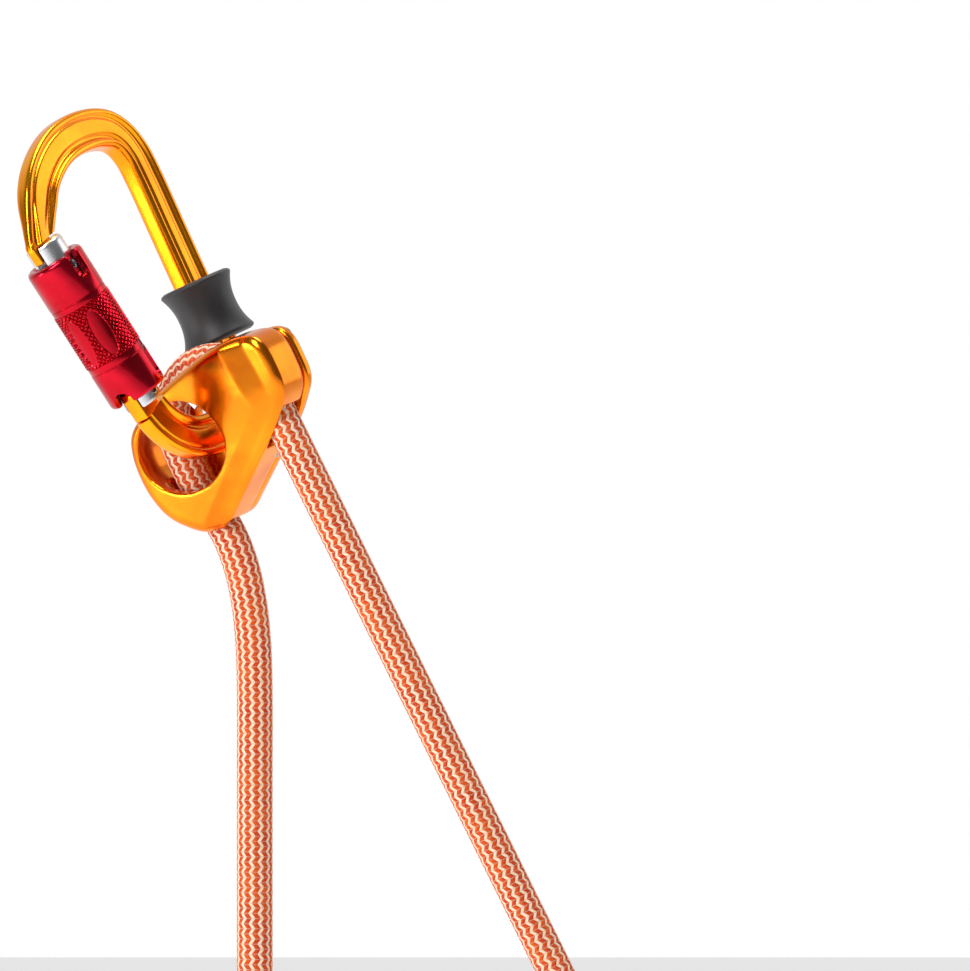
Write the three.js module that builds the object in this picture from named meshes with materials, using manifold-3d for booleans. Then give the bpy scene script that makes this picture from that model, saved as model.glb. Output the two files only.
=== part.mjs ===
// Rope adjuster hanging on a twist-lock carabiner, with its kernmantle rope.
// Millimetres, +Z up. The origin is the inside of the carabiner's top bend, where the anchor bears.
//
// Three frames are nested:
//   carabiner frame: x from gate to spine, y up along the spine, z out of the carabiner's side
//   gate frame:      origin at the hinge pin, y up the gate
//   adjuster frame:  x right across its front plate, y up the spine, z out of the front plate

import * as THREE from 'three';
import { mergeVertices } from 'three/addons/utils/BufferGeometryUtils.js';
import Module from 'manifold-3d';

const wasm = await Module();
wasm.setup();

const DEG = Math.PI / 180;
const GAP = 0.3;

// How the carabiner hangs.
const TILT = 24.4 * DEG;
const TURN = 52 * DEG;

// Carabiner body: a forged I section, wide in the top bend and slim in the spine.
const BASKET_WIDTH = 11.2;
const SPINE_WIDTH = 10.6;
const SECTION_THICKNESS = 6.2;
const OUTER_SHARE = 0.78;
const GROOVE_DEPTH = 1.2;
const SPINE_X = 15.6;
const BASKET_Y = -80.5;
const BASKET_ROUND_X = 1.1;
const SPINE_ROUND = 14.5;
const HINGE_TONGUE = 4.4;
const NOSE_TONGUE = 2.6;

// Gate, measured up its own axis from the hinge pin.
const HINGE = new THREE.Vector2(-24.5, -60.5);
const GATE_LEAN = 13 * DEG;
const HINGE_ROUND = new THREE.Vector2(-5.3, -62.2);
const GATE_LENGTH = 44.5;
const GATE_FOOT = 6.1;
const HINGE_S = -3;
const BARREL_R = 5.2;
const HINGE_SLOT = 5;
const NOSE_SLOT = 3.2;
const BORE_R = 2.7;
const PIN_R = 1.25;
const TRACK_S = 36;
const NOSE_S = 45.5;
const NOSE_LOW = 40.3;
const SLEEVE_R = 8.1;
const SLEEVE_BORE_R = 5.5;
const SLEEVE_BOTTOM = -2.9;
const SLEEVE_TOP = 39.3;
const NOTCH_R = 1.8;
const NOTCH_BOTTOM = 31.7;
const KEY_S = 28.5;
const BAND_LOW = 9.5;
const BAND_HIGH = 25.8;
const SPRING_TOP = 22;

// Rubber keeper on the spine.
const KEEPER_X = SPINE_X + 1;
const KEEPER_BOTTOM = -59.2;
const KEEPER_LENGTH = 17.2;
const KEEPER_R = 10;
const KEEPER_WAIST_R = 8.1;

// Adjuster.
const ROPE_D = 9.5;
const ROPE_R = ROPE_D / 2;
const WRAP = new THREE.Vector2(3.35, -80.4);
const WRAP_R = 17.65;
const CHANNEL_R = WRAP_R + ROPE_R + 0.4;
const PLATE_FRONT = 8.5;
const PLATE_INNER = 5.2;
const REAR_INNER = -5.5;
const REAR_OUTER = -8.5;
const RIVET_R = 1.1;

// Rope outside the adjuster, in the part's own frame.
const STRAND_END_Z = -221.7;
const LOAD_LENGTH = 168;
const LOAD_DIRECTION = new THREE.Vector3(0.444, 0, -0.896).normalize();
const EYE_SLEEVE = { width: 22, thickness: 12.5, length: 34 };
const EYE_LENGTH = 34;
const HANK = { x: 42.8, y: 10.05, z: -300, width: 55.5, waist: 20.5, height: 156, thickness: 19.4 };
const STOP = { y: 14.9, width: 21, thickness: 12.5, length: 22 };

const COLOURS = {
  gold: { color: 0xe8960c, roughness: 0.28, metalness: 1 },
  orange: { color: 0xd9660a, roughness: 0.3, metalness: 1 },
  red: { color: 0xb0101f, roughness: 0.3, metalness: 1 },
  steel: { color: 0xc9cbd0, roughness: 0.25, metalness: 1 },
  rubber: { color: 0x4a4b50, roughness: 0.7, metalness: 0 },
  rope: { color: 0xe8602a, roughness: 0.85, metalness: 0 },
  thread: { color: 0x22242a, roughness: 0.8, metalness: 0 },
  plastic: { color: 0x2a2b2f, roughness: 0.5, metalness: 0 },
};

// ---------- shape helpers ----------

function closed(geometry) {
  const plain = geometry.clone();
  plain.deleteAttribute('normal');
  plain.deleteAttribute('uv');
  return mergeVertices(plain, 1e-4);
}

function solid(geometry) {
  const merged = closed(geometry);
  const mesh = new wasm.Mesh({
    numProp: 3,
    vertProperties: new Float32Array(merged.attributes.position.array),
    triVerts: new Uint32Array(merged.index.array),
  });
  return new wasm.Manifold(mesh);
}

function geometryOf(manifold) {
  const mesh = manifold.getMesh();
  const geometry = new THREE.BufferGeometry();
  geometry.setAttribute('position', new THREE.BufferAttribute(new Float32Array(mesh.vertProperties), 3));
  geometry.setIndex(new THREE.BufferAttribute(new Uint32Array(mesh.triVerts), 1));
  return geometry;
}

function outline(points, holes = []) {
  const shape = new THREE.Shape(points.map(([x, y]) => new THREE.Vector2(x, y)));
  shape.holes = holes.map((hole) => new THREE.Path(hole.map(([x, y]) => new THREE.Vector2(x, y))));
  return shape;
}

function prism(shape, low, high, bevel = 0, curveSegments = 12) {
  const geometry = new THREE.ExtrudeGeometry(shape, {
    depth: high - low - 2 * bevel,
    bevelEnabled: bevel > 0,
    bevelThickness: bevel,
    bevelSize: bevel,
    bevelOffset: -bevel,
    bevelSegments: 3,
    curveSegments,
  });
  return geometry.translate(0, 0, low + bevel);
}

function arc(cx, cy, rx, ry, from, to, count) {
  const points = [];
  for (let i = 0; i <= count; i += 1) {
    const angle = (from + ((to - from) * i) / count) * DEG;
    points.push([cx + rx * Math.cos(angle), cy + ry * Math.sin(angle)]);
  }
  return points;
}

function disc(cx, cy, rx, ry = rx, count = 32) {
  return outline(arc(cx, cy, rx, ry, 0, 360 - 360 / count, count - 1));
}

// A polygon with each corner cut by a short curve of the given reach.
function rounded(points, reach, steps = 3) {
  const result = [];
  points.forEach(([x, y], i) => {
    const corner = new THREE.Vector2(x, y);
    const before = new THREE.Vector2(...points[(i + points.length - 1) % points.length]);
    const after = new THREE.Vector2(...points[(i + 1) % points.length]);
    const start = before.sub(corner);
    const end = after.sub(corner);
    start.setLength(Math.min(reach, start.length() * 0.45)).add(corner);
    end.setLength(Math.min(reach, end.length() * 0.45)).add(corner);
    const curve = new THREE.QuadraticBezierCurve(start, corner, end);
    curve.getPoints(steps).forEach((p) => result.push([p.x, p.y]));
  });
  return result;
}

function turned(profile, segments = 32) {
  return new THREE.LatheGeometry(profile.map(([r, y]) => new THREE.Vector2(r, y)), segments);
}

function rod(radius, low, high, segments = 20) {
  return new THREE.CylinderGeometry(radius, radius, high - low, segments).translate(0, (low + high) / 2, 0);
}

// A rod along z at a point of the x, y plane.
function pinAt(radius, x, y, low, high, segments = 16) {
  return prism(disc(x, y, radius, radius, segments), low, high);
}

function block(x0, x1, y0, y1, z0, z1) {
  return new THREE.BoxGeometry(x1 - x0, y1 - y0, z1 - z0)
    .translate((x0 + x1) / 2, (y0 + y1) / 2, (z0 + z1) / 2);
}

function tube(curve, radius, steps, sides = 10) {
  return new THREE.ExtrudeGeometry(disc(0, 0, radius, radius, sides), { steps, extrudePath: curve });
}

// A closed skin over rings that all have the same number of points.
function loft(rings) {
  const count = rings[0].length;
  const position = rings.flat().flatMap((p) => [p.x, p.y, p.z]);
  const index = [];
  for (let i = 0; i + 1 < rings.length; i += 1) {
    for (let j = 0; j < count; j += 1) {
      const a = i * count + j;
      const b = i * count + ((j + 1) % count);
      index.push(a, b, b + count, a, b + count, a + count);
    }
  }
  const last = (rings.length - 1) * count;
  const flat = sectionPoints(SPINE_WIDTH, SECTION_THICKNESS, 0.5).map(([n, z]) => new THREE.Vector2(n, z));
  THREE.ShapeUtils.triangulateShape(flat, []).forEach(([a, b, c]) => {
    index.push(a, c, b);
    index.push(last + a, last + b, last + c);
  });
  const geometry = new THREE.BufferGeometry();
  geometry.setAttribute('position', new THREE.Float32BufferAttribute(position, 3));
  geometry.setIndex(index);
  return geometry;
}

const group = new THREE.Group();

function add(parent, name, geometry, colour) {
  const mesh = new THREE.Mesh(geometry, new THREE.MeshStandardMaterial(COLOURS[colour]));
  mesh.name = name;
  parent.add(mesh);
  return mesh;
}

// ---------- carabiner ----------

// The I section, as [outward, sideways] points. The inner flange is the thicker one.
function sectionPoints(width, thickness, groove) {
  const h = width / 2;
  const inner = thickness / 2;
  const outer = inner * OUTER_SHARE;
  const front = [
    [h, outer * 0.5],
    [h * 0.94, outer * 0.88],
    [h * 0.82, outer],
    [h * 0.68, outer * 0.96],
    [h * 0.58, outer - groove],
    [-h * 0.46, inner - groove],
    [-h * 0.58, inner * 0.96],
    [-h * 0.72, inner],
    [-h * 0.9, inner * 0.84],
    [-h, inner * 0.4],
  ];
  return [...front, ...front.map(([n, z]) => [n, -z]).reverse()];
}

function bodyLine() {
  const spineTop = [
    [-37.4, -21],
    [-36.2, -17.1],
    [-33.4, -12.2],
    [-30.2, -7.5],
    [-25.4, -2.2],
    [-19.1, 2],
    [-12.2, 4.7],
    [-4, 5.8],
    [4.2, 5.2],
    [9.6, 3.3],
    [13, 0],
    [15, -4.9],
    [SPINE_X, -12],
  ];
  const bend = arc(BASKET_ROUND_X, BASKET_Y + SPINE_ROUND, SPINE_ROUND, SPINE_ROUND, 0, -90, 8);
  const r = HINGE_ROUND.y - BASKET_Y;
  const hook = arc(HINGE_ROUND.x, HINGE_ROUND.y, r, r, -90, -160, 6);
  const straight = [[SPINE_X, -26], [SPINE_X, -40], [SPINE_X, -54]];
  const points = [...spineTop, ...straight, ...bend, ...hook];
  return new THREE.CatmullRomCurve3(points.map(([x, y]) => new THREE.Vector3(x, y, 0)), false, 'centripetal');
}

function bodyLoft() {
  const line = bodyLine();
  const stations = 58;
  const rings = [];
  for (let i = 0; i <= stations; i += 1) {
    const along = i / stations;
    const centre = line.getPointAt(along);
    const ahead = line.getTangentAt(along);
    const out = new THREE.Vector3(-ahead.y, ahead.x, 0);
    const fade = Math.min(1, along / 0.06, (1 - along) / 0.06);
    const spine = THREE.MathUtils.smoothstep(along, 0.24, 0.42);
    const nose = 1 - 0.25 * (1 - THREE.MathUtils.smoothstep(along, 0, 0.1));
    const width = (BASKET_WIDTH + (SPINE_WIDTH - BASKET_WIDTH) * spine) * nose;
    const points = sectionPoints(width, SECTION_THICKNESS, 0.2 + GROOVE_DEPTH * fade);
    rings.push(points.map(([n, z]) => centre.clone().addScaledVector(out, n).setZ(z)));
  }
  return loft(rings);
}

function inGateFrame(manifold) {
  return manifold.rotate([0, 0, GATE_LEAN / DEG]).translate([HINGE.x, HINGE.y, 0]);
}

function carabinerFrame() {
  const noseShape = outline([
    [-4.8, NOSE_S + 2],
    [-6, NOSE_S],
    [-6, NOSE_LOW],
    [-3, NOSE_LOW + 0.4],
    [-1.4, NOSE_S - 3],
    [1.6, NOSE_S - 2.2],
    [2.4, NOSE_S - 1],
    [1.8, NOSE_S + 2],
  ]);
  const nose = inGateFrame(solid(prism(noseShape, -NOSE_TONGUE / 2, NOSE_TONGUE / 2)));
  const eyeRound = arc(-1, HINGE_S, 4.1, 3.6, -20, 200, 12);
  const eyeShape = outline([...eyeRound, [-4.9, HINGE_S - 6], [2.9, HINGE_S - 6]]);
  const pinHole = solid(pinAt(PIN_R + 0.3, 0, HINGE_S, -9, 9));
  const eye = inGateFrame(solid(prism(eyeShape, -HINGE_TONGUE / 2, HINGE_TONGUE / 2)).subtract(pinHole));
  const gateRoom = inGateFrame(solid(block(-9, 9, -GATE_FOOT - 0.8, NOSE_S - 0.4, -9, 9)));
  return geometryOf(solid(bodyLoft()).subtract(gateRoom).add(nose).add(eye));
}

function gateBarrel() {
  const body = solid(turned([
    [0, -GATE_FOOT],
    [BARREL_R - 0.6, -GATE_FOOT],
    [BARREL_R, -GATE_FOOT + 0.6],
    [BARREL_R, GATE_LENGTH - 1.2],
    [BARREL_R - 1.2, GATE_LENGTH],
    [0, GATE_LENGTH],
  ], 28));
  const hingeSlot = solid(block(-9, 9, -9, 3, -HINGE_SLOT / 2, HINGE_SLOT / 2));
  const noseSlot = solid(block(-9, 9, TRACK_S - 3, GATE_LENGTH + 4, -NOSE_SLOT / 2, NOSE_SLOT / 2));
  const bore = solid(rod(BORE_R, 0, SPRING_TOP, 20));
  const hinge = solid(pinAt(PIN_R + 0.3, 0, HINGE_S, -9, 9));
  const track = solid(pinAt(PIN_R + 0.3, 0, TRACK_S, -9, 9));
  const key = solid(pinAt(0.9, 0, KEY_S, 2, 9, 12));
  return geometryOf(body.subtract(hingeSlot).subtract(noseSlot).subtract(bore)
    .subtract(hinge).subtract(track).subtract(key));
}

function helix(radius, low, high, turns) {
  const points = [];
  const count = turns * 10;
  for (let i = 0; i <= count; i += 1) {
    const angle = (i / 10) * 2 * Math.PI;
    const y = low + ((high - low) * i) / count;
    points.push(new THREE.Vector3(radius * Math.cos(angle), y, radius * Math.sin(angle)));
  }
  return new THREE.CatmullRomCurve3(points);
}

function spring(radius, wire, low, high, turns) {
  return tube(helix(radius, low + wire, high - wire, turns), wire, turns * 10, 5);
}

function lockSleeve() {
  const room = 6.7;
  const ring = solid(turned([
    [SLEEVE_BORE_R, SLEEVE_BOTTOM],
    [SLEEVE_R - 0.6, SLEEVE_BOTTOM],
    [SLEEVE_R, SLEEVE_BOTTOM + 0.8],
    [SLEEVE_R, BAND_LOW - 0.4],
    [SLEEVE_R - 0.35, BAND_LOW],
    [SLEEVE_R - 0.35, BAND_HIGH],
    [SLEEVE_R, BAND_HIGH + 0.4],
    [SLEEVE_R, SLEEVE_TOP - 0.6],
    [SLEEVE_R - 0.6, SLEEVE_TOP],
    [SLEEVE_BORE_R, SLEEVE_TOP],
    [SLEEVE_BORE_R, 26],
    [room, 24.5],
    [room, 9],
    [SLEEVE_BORE_R, 7.5],
    [SLEEVE_BORE_R, SLEEVE_BOTTOM],
  ], 36));
  const notchLow = NOTCH_BOTTOM + NOTCH_R;
  const notchRound = arc(0, notchLow, NOTCH_R, NOTCH_R, 180, 360, 10);
  const notchShape = outline([...notchRound, [NOTCH_R, 60], [-NOTCH_R, 60]]);
  const notch = solid(prism(notchShape, 3, 12)).rotate([0, -10.5, 0]);
  const footShape = outline([...arc(0, -0.6, 3.6, 1.8, 0, 180, 10), [-3.6, -9], [3.6, -9]]);
  const footSlot = solid(prism(footShape, 3, 12)).rotate([0, -82, 0]);
  return geometryOf(ring.subtract(notch).subtract(footSlot));
}

function spineKeeper() {
  const top = KEEPER_BOTTOM + KEEPER_LENGTH;
  const waist = (KEEPER_BOTTOM + top) / 2;
  const profile = [];
  const steps = 14;
  for (let i = 0; i <= steps; i += 1) {
    const y = KEEPER_BOTTOM + (KEEPER_LENGTH * i) / steps;
    const swell = Math.abs((y - waist) / (KEEPER_LENGTH / 2)) ** 2.4;
    const edge = i === 0 || i === steps ? 0.7 : 0;
    profile.push([KEEPER_WAIST_R + (KEEPER_R - KEEPER_WAIST_R) * swell - edge, y]);
  }
  const spool = solid(turned([[0, KEEPER_BOTTOM], ...profile, [0, top]], 36));
  const hole = rounded(rectangle(SPINE_WIDTH / 2 + GAP, SECTION_THICKNESS / 2 + GAP), 1);
  const bore = solid(prism(outline(hole), KEEPER_BOTTOM - 1, top + 1).rotateX(-90 * DEG)
    .translate(SPINE_X - KEEPER_X, 0, 0));
  return geometryOf(spool.subtract(bore)).translate(KEEPER_X, 0, 0);
}

function buildCarabiner(frame) {
  add(frame, 'carabiner_frame', carabinerFrame(), 'gold');
  add(frame, 'spine_keeper', spineKeeper(), 'rubber');
  const gate = new THREE.Group();
  gate.position.set(HINGE.x, HINGE.y, 0);
  gate.rotation.z = GATE_LEAN;
  frame.add(gate);
  const cheek = BARREL_R * 0.88;
  add(gate, 'gate_barrel', gateBarrel(), 'steel');
  add(gate, 'hinge_pin', pinAt(PIN_R, 0, HINGE_S, -cheek, cheek), 'steel');
  add(gate, 'track_pin', pinAt(PIN_R, 0, TRACK_S, -cheek, cheek), 'steel');
  add(gate, 'gate_plunger', turned([[0, 1.4], [1.4, 1.6], [2.2, 2.8], [2.2, 9.4], [0, 9.4]], 16), 'steel');
  add(gate, 'gate_spring', spring(1.8, 0.35, 9.8, SPRING_TOP - GAP, 6), 'steel');
  add(gate, 'lock_sleeve', lockSleeve(), 'red');
  add(gate, 'sleeve_spring', spring(6.05, 0.3, 9.4, 24.1, 5), 'steel');
  add(gate, 'sleeve_key_pin', pinAt(0.6, 0, KEY_S, 2.3, 5.1, 10), 'steel');
}

// ---------- adjuster ----------

const PLATE_CORNERS = [
  [-6, -64.4],
  [13.5, -60.4],
  [20, -60],
  [28, -61.4],
  [31, -66],
  [31, -78],
  [22.4, -86],
  [-7, -105],
  [-13.6, -103.6],
  [-22, -96.6],
  [-25, -88],
  [-25, -79],
  [-22.4, -71.8],
  [-14.6, -67.8],
];

const CARABINER_HOLE = { x: -7.1, y: -80.6, rx: 14.6, ry: 12.2 };
const ROOF_START = 17;

function rivetHoles(low, high, extra) {
  return RIVETS.map(([, x, y]) => solid(pinAt(RIVET_R + extra, x, y, low, high)));
}

const RIVETS = [
  ['rivet_hood', 26.6, -65.2],
  ['rivet_web', 9.6, -92.2],
  ['rivet_saddle_top', WRAP.x + 5.04, WRAP.y + 9.1],
  ['rivet_saddle_side', WRAP.x + 10.1, WRAP.y + 2.4],
];

function channel() {
  const half = outline([...arc(WRAP.x, WRAP.y, CHANNEL_R, CHANNEL_R, 0, 180, 24)]);
  const top = solid(prism(half, REAR_OUTER, PLATE_INNER));
  const left = WRAP.x - WRAP_R;
  const right = WRAP.x + WRAP_R;
  const width = ROPE_R + 0.4;
  const loadLeg = solid(block(right - width, right + width, -120, WRAP.y + 0.01, REAR_OUTER, PLATE_INNER));
  const tailLeg = solid(block(left - width, left + width + 4, -120, WRAP.y + 0.01, REAR_OUTER, PLATE_INNER));
  const openTop = solid(block(-6, ROOF_START, WRAP.y, -50, REAR_OUTER, PLATE_INNER));
  return top.add(loadLeg).add(tailLeg).add(openTop);
}

function adjusterBody() {
  const shape = outline(rounded(PLATE_CORNERS, 4.5));
  const bulk = solid(prism(shape, REAR_INNER + GAP, PLATE_FRONT, 2.2));
  const hole = CARABINER_HOLE;
  const opening = solid(prism(disc(hole.x, hole.y, hole.rx, hole.ry, 36), -12, 12));
  const holes = rivetHoles(REAR_OUTER, PLATE_FRONT - 1.6, GAP);
  let body = bulk.subtract(opening).subtract(channel());
  holes.forEach((one) => {
    body = body.subtract(one);
  });
  return geometryOf(body);
}

function rearPlate() {
  const corners = [
    [-6, -67],
    [12, -63.4],
    [20, -61],
    [28, -62],
    [30.6, -66.4],
    [30.6, -78],
    [22.4, -85.6],
    [-7, -104],
    [-13, -101.6],
    [-14, -88],
    [-13, -72.6],
  ];
  const plate = solid(prism(outline(rounded(corners, 4)), REAR_OUTER, REAR_INNER, 0.8));
  let cut = plate.subtract(solid(prism(disc(0, -78, 9.6, 10.4, 32), -12, 12)));
  rivetHoles(-12, 12, GAP).forEach((one) => {
    cut = cut.subtract(one);
  });
  return geometryOf(cut);
}

function ropeSaddle() {
  const outer = WRAP_R - ROPE_R - GAP;
  const inner = outer - 4.4;
  const outside = arc(WRAP.x, WRAP.y, outer, outer, 2, 118, 18);
  const ring = [...outside, ...arc(WRAP.x, WRAP.y, inner, inner, 118, 2, 18)];
  let saddle = solid(prism(outline(ring), REAR_INNER + GAP, PLATE_INNER - GAP));
  rivetHoles(-12, 12, GAP).forEach((one) => {
    saddle = saddle.subtract(one);
  });
  return geometryOf(saddle);
}

function rivet(x, y) {
  const head = 0.9;
  const shank = prism(disc(x, y, RIVET_R, RIVET_R, 14), REAR_OUTER - GAP, PLATE_FRONT - 2);
  const dome = turned([[0, 0], [2.3, 0], [2.1, 0.5], [1.2, head], [0, head]], 20)
    .rotateX(-90 * DEG).translate(x, y, REAR_OUTER - GAP + 0.05);
  return geometryOf(solid(shank).add(solid(dome)));
}

function bightLine() {
  const right = WRAP.x + WRAP_R;
  const left = WRAP.x - WRAP_R;
  const over = arc(WRAP.x, WRAP.y, WRAP_R, WRAP_R, 0, 180, 16);
  const points = [[right, -84], ...over, [left, -86], [left + 0.4, -91.5], [left + 1.5, -96]];
  return new THREE.CatmullRomCurve3(points.map(([x, y]) => new THREE.Vector3(x, y, 0)), false, 'centripetal');
}

function buildAdjuster(frame) {
  add(frame, 'adjuster_body', adjusterBody(), 'orange');
  add(frame, 'adjuster_rear_plate', rearPlate(), 'orange');
  add(frame, 'rope_saddle', ropeSaddle(), 'steel');
  RIVETS.forEach(([name, x, y]) => add(frame, name, rivet(x, y), 'steel'));
  add(frame, 'rope_bight', tube(bightLine(), ROPE_R, 30), 'rope');
}

// ---------- rope outside the adjuster ----------

function smooth(points) {
  const knots = points.map(([x, y, z]) => new THREE.Vector3(x, y, z));
  return new THREE.CatmullRomCurve3(knots, false, 'centripetal');
}

const TAIL_ROUTE = [
  [30.73, 7.69, -92.1],
  [33.6, 7.1, -96.5],
  [36.6, 6.6, -102],
  [39.2, 6.1, -109],
  [41.2, 5.6, -118],
  [42.4, 5.3, -129],
  [42.8, 5.2, -142],
  [42.8, 5.2, -165],
  [42.8, 5.2, -192],
  [42.8, 5.2, STRAND_END_Z],
];

const LOAD_START = new THREE.Vector3(49.9, -12.94, -69.97);

function along(distance) {
  return LOAD_START.clone().addScaledVector(LOAD_DIRECTION, distance);
}

function loadStrand() {
  return tube(new THREE.LineCurve3(along(0), along(LOAD_LENGTH)), ROPE_R, 8);
}

// Built hanging straight down from its mouth, then leaned into the strand's line.
function leaned(geometry) {
  const down = new THREE.Vector3(0, 0, -1);
  const turn = new THREE.Quaternion().setFromUnitVectors(down, LOAD_DIRECTION);
  const place = along(LOAD_LENGTH + GAP);
  return geometry.applyQuaternion(turn).translate(place.x, place.y, place.z);
}

function softBlock(size) {
  const w = size.width / 2;
  const t = size.thickness / 2;
  const shape = outline(rounded(rectangle(w, t), 5, 4));
  return prism(shape, -size.length, 0, 1.2);
}

function eyeLoop() {
  const half = EYE_SLEEVE.width / 2 - ROPE_R - 0.8;
  const top = -EYE_SLEEVE.length - 2 * GAP;
  const bend = half + 3;
  const low = top - EYE_LENGTH;
  const line = smooth([
    [-half, 0, top],
    [-half, 0, top - 2.5],
    [-half - 1, 0, top - 8],
    [-bend, 0, top - 15],
    [-bend, 0, low + bend],
    ...arc(0, low + bend, bend, bend, 200, 340, 7).map(([x, z]) => [x, 0, z]),
    [bend, 0, low + bend],
    [bend, 0, top - 15],
    [half + 1, 0, top - 8],
    [half, 0, top - 2.5],
    [half, 0, top],
  ]);
  return tube(line, ROPE_R, 26);
}

function rectangle(w, t) {
  return [[-w, -t], [w, -t], [w, t], [-w, t]];
}

// A flat band round a bundle.
function strap(width, thickness, wall, low, high) {
  const w = width / 2 + 2 * GAP;
  const t = thickness / 2 + GAP;
  const outside = rounded(rectangle(w + wall, t + wall), 4, 4);
  return prism(outline(outside, [rectangle(w, t)]), low, high);
}

// The folded rope's outer shape: two round ends, drawn in to a waist where it is tied.
function hankOutline() {
  const round = HANK.width / 2;
  const run = HANK.height / 2 - round;
  const waist = [-0.8, -0.6, -0.4, -0.24, 0, 0.24, 0.4, 0.6, 0.8];
  const side = waist.map((share) => {
    const swell = THREE.MathUtils.smoothstep(Math.abs(share), 0.24, 1);
    return [HANK.waist / 2 + (round - HANK.waist / 2) * swell, share * run];
  });
  const left = side.map(([x, y]) => [-x, -y]);
  return outline([...arc(0, run, round, round, 0, 180, 14), ...left,
    ...arc(0, -run, round, round, 180, 360, 14), ...side]);
}

function buildRope(frame) {
  add(frame, 'load_strand', loadStrand(), 'rope');
  add(frame, 'load_eye_sleeve', leaned(softBlock(EYE_SLEEVE)), 'plastic');
  add(frame, 'load_eye', leaned(eyeLoop()), 'rope');
  add(frame, 'tail_strand', tube(smooth(TAIL_ROUTE), ROPE_R, 30), 'rope');
  const hank = prism(hankOutline(), -HANK.thickness / 2, HANK.thickness / 2).rotateX(90 * DEG)
    .translate(HANK.x, HANK.y, HANK.z);
  add(frame, 'tail_hank', hank, 'rope');
  const tie = strap(HANK.waist, HANK.thickness, 1.8, -11, 11).translate(HANK.x, HANK.y, HANK.z);
  add(frame, 'hank_tie', tie, 'plastic');
  const stop = softBlock(STOP).translate(HANK.x, STOP.y, HANK.z - HANK.height / 2 - GAP);
  add(frame, 'tail_stop', stop, 'thread');
}

// ---------- assembly ----------

const tilt = new THREE.Group();
tilt.rotation.y = -TILT;
const turn = new THREE.Group();
turn.rotation.z = TURN;
const stand = new THREE.Group();
stand.rotation.x = 90 * DEG;
const adjuster = new THREE.Group();
adjuster.rotation.y = -90 * DEG;
group.add(tilt);
tilt.add(turn);
turn.add(stand);
stand.add(adjuster);

buildCarabiner(stand);
buildAdjuster(adjuster);
buildRope(group);

export default group;
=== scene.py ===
"""The looks of a rope adjuster on a twist-lock carabiner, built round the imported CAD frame.

Metres, +Z up. The origin is the inside of the carabiner's top bend. Three local frames are used,
as in the CAD:
  carabiner frame  x from gate to spine, y up along the spine, z out of its side
  gate frame       origin at the hinge pin, y up the gate
  adjuster frame   x right across its front plate, y up the spine, z out of the front plate
Local shapes are written in millimetres and placed by place_local().
"""

import math

import bmesh
import bpy
import numpy as np
from mathutils import Matrix, Vector


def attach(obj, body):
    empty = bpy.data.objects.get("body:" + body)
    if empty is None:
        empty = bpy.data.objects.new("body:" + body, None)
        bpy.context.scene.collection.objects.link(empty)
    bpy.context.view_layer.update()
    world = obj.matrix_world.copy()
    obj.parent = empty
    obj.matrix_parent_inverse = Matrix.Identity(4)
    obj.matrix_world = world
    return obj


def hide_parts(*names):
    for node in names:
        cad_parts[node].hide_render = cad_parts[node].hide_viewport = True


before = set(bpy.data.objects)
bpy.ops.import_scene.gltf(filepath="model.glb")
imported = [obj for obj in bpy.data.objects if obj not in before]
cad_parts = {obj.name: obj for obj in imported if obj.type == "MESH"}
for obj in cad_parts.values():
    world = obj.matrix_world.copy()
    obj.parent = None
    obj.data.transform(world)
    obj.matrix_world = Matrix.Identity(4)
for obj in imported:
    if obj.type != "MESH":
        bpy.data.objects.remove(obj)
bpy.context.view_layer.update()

MM = 0.001

# ---------- driving dimensions, millimetres ----------

TILT = math.radians(24.4)
TURN = math.radians(52)
BASKET_WIDTH = 11.2
SPINE_WIDTH = 10.6
INNER_HALF = 3.1
OUTER_HALF = 2.42
SPINE_X = 15.6
BASKET_Y = -80.5
BASKET_ROUND_X = 1.1
SPINE_ROUND = 14.5
HINGE = np.array([-24.5, -60.5])
HINGE_ROUND = np.array([-5.3, -62.2])
GATE_LEAN = math.radians(13)
HINGE_TONGUE = 4.4
NOSE_TONGUE = 2.6
GATE_LENGTH = 44.5
GATE_FOOT = 6.1
HINGE_S = -3
BARREL_R = 5.2
HINGE_SLOT = 5
NOSE_SLOT = 3.2
PIN_R = 1.25
PIN_HALF = BARREL_R * 0.88
TRACK_S = 36
NOSE_S = 45.5
NOSE_LOW = 40.3
SLEEVE_R = 8.1
SLEEVE_BORE_R = 5.5
SLEEVE_BOTTOM = -2.9
SLEEVE_TOP = 39.3
NOTCH_R = 1.8
NOTCH_BOTTOM = 31.7
BAND_LOW = 9.5
BAND_HIGH = 25.8
KEEPER_X = SPINE_X + 1
KEEPER_BOTTOM = -59.2
KEEPER_LENGTH = 17.2
KEEPER_R = 10
KEEPER_WAIST_R = 8.1
ROPE_D = 9.5
ROPE_R = ROPE_D / 2
WRAP = np.array([3.35, -80.4])
WRAP_R = 17.65
CHANNEL_R = WRAP_R + ROPE_R + 0.4
PLATE_FRONT = 8.5
PLATE_INNER = 5.2
BODY_BACK = -5.2
GAP = 0.3
THROUGH = 14

TOP_BEND = [
    (-37.4, -21), (-36.2, -17.1), (-33.4, -12.2), (-30.2, -7.5), (-25.4, -2.2), (-19.1, 2), (-12.2, 4.7),
    (-4, 5.8), (4.2, 5.2), (9.6, 3.3), (13, 0), (15, -4.9),
]
PLATE_CORNERS = [
    (-6, -64.4), (13.5, -60.4), (20, -60), (28, -61.4), (31, -66), (31, -78), (22.4, -86),
    (-7, -105), (-13.6, -103.6), (-22, -96.6), (-25, -88), (-25, -79), (-22.4, -71.8), (-14.6, -67.8),
]
HOLE = {"x": -7.1, "y": -80.6, "rx": 14.6, "ry": 12.2}


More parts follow.
